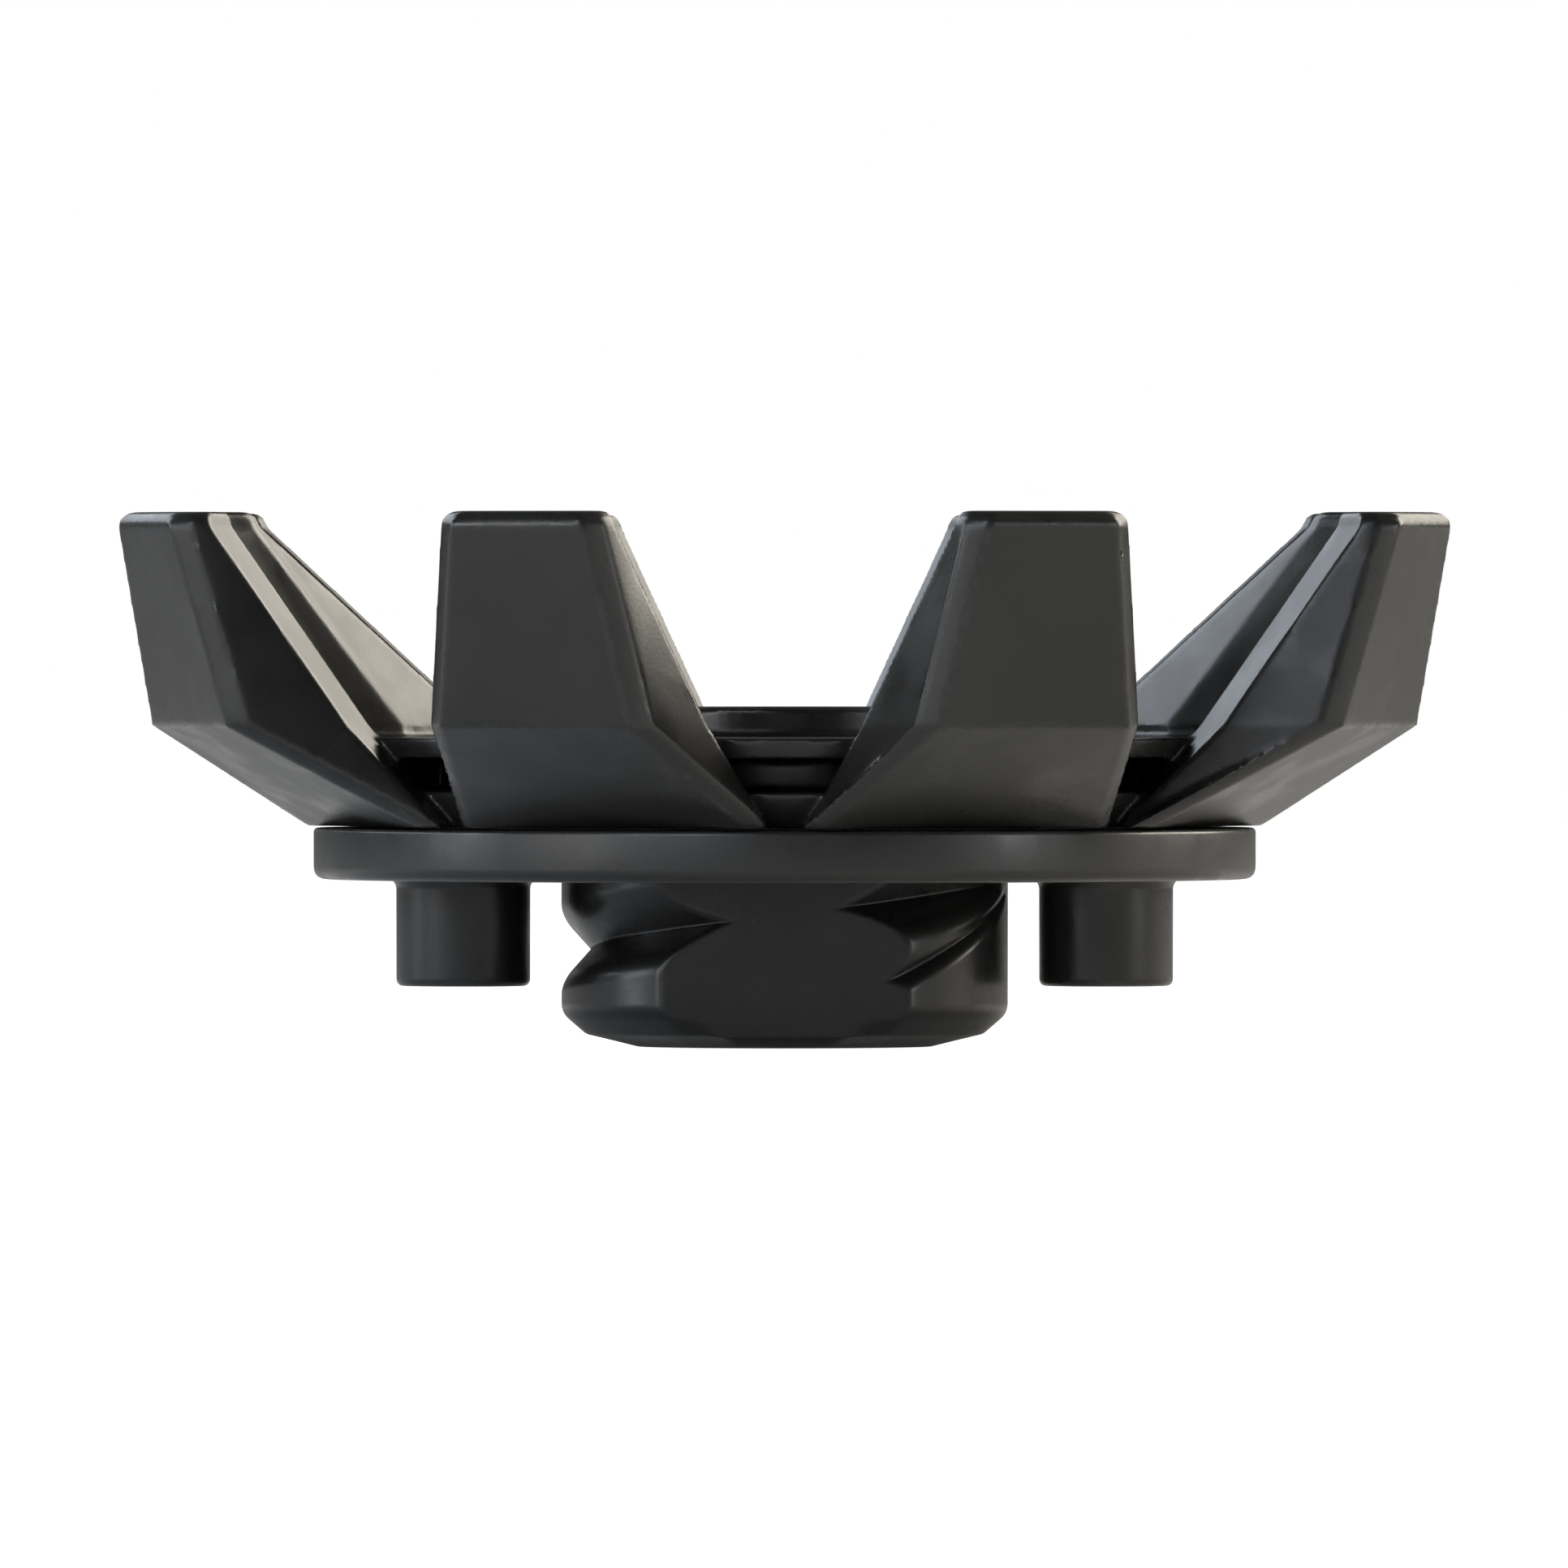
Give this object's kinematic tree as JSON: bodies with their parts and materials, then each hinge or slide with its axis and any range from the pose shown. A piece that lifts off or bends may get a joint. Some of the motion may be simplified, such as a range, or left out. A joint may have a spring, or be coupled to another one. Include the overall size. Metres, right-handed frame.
{
  "type": "wing nut",
  "caption": "Hand-turned wing nut: a crown of upright wings over a captive plate with two locating pegs, and a coarse threaded neck that carries a metal thread insert.",
  "frame": {"origin": "on the axis, in the plate's underside, which is the face that seats on the fixture", "axes": "+Z along the axis from the threaded neck towards the wings; +X through the centre of one locating peg"},
  "size_m": [0.0594, 0.0594, 0.0239],
  "materials": {
    "crown_plastic": "black moulded plastic, satin",
    "plate_plastic": "black moulded plastic, satin",
    "neck_plastic": "black moulded plastic, slightly smoother than the crown",
    "washer_plastic": "natural low-friction plastic",
    "insert_brass": "turned brass, knurled outside"
  },
  "bodies": {
    "plate": {"peg_plate": "plate_plastic"},
    "crown": {"wing_crown": "crown_plastic", "threaded_neck": "neck_plastic", "thread_insert": "insert_brass", "thrust_washer": "washer_plastic"}
  },
  "joints": [
    {"name": "crown_turn", "type": "hinge", "parent": "plate", "child": "crown", "pos_m": [0, 0, 0], "axis": [0, 0, 1], "continuous": true}
  ]
}
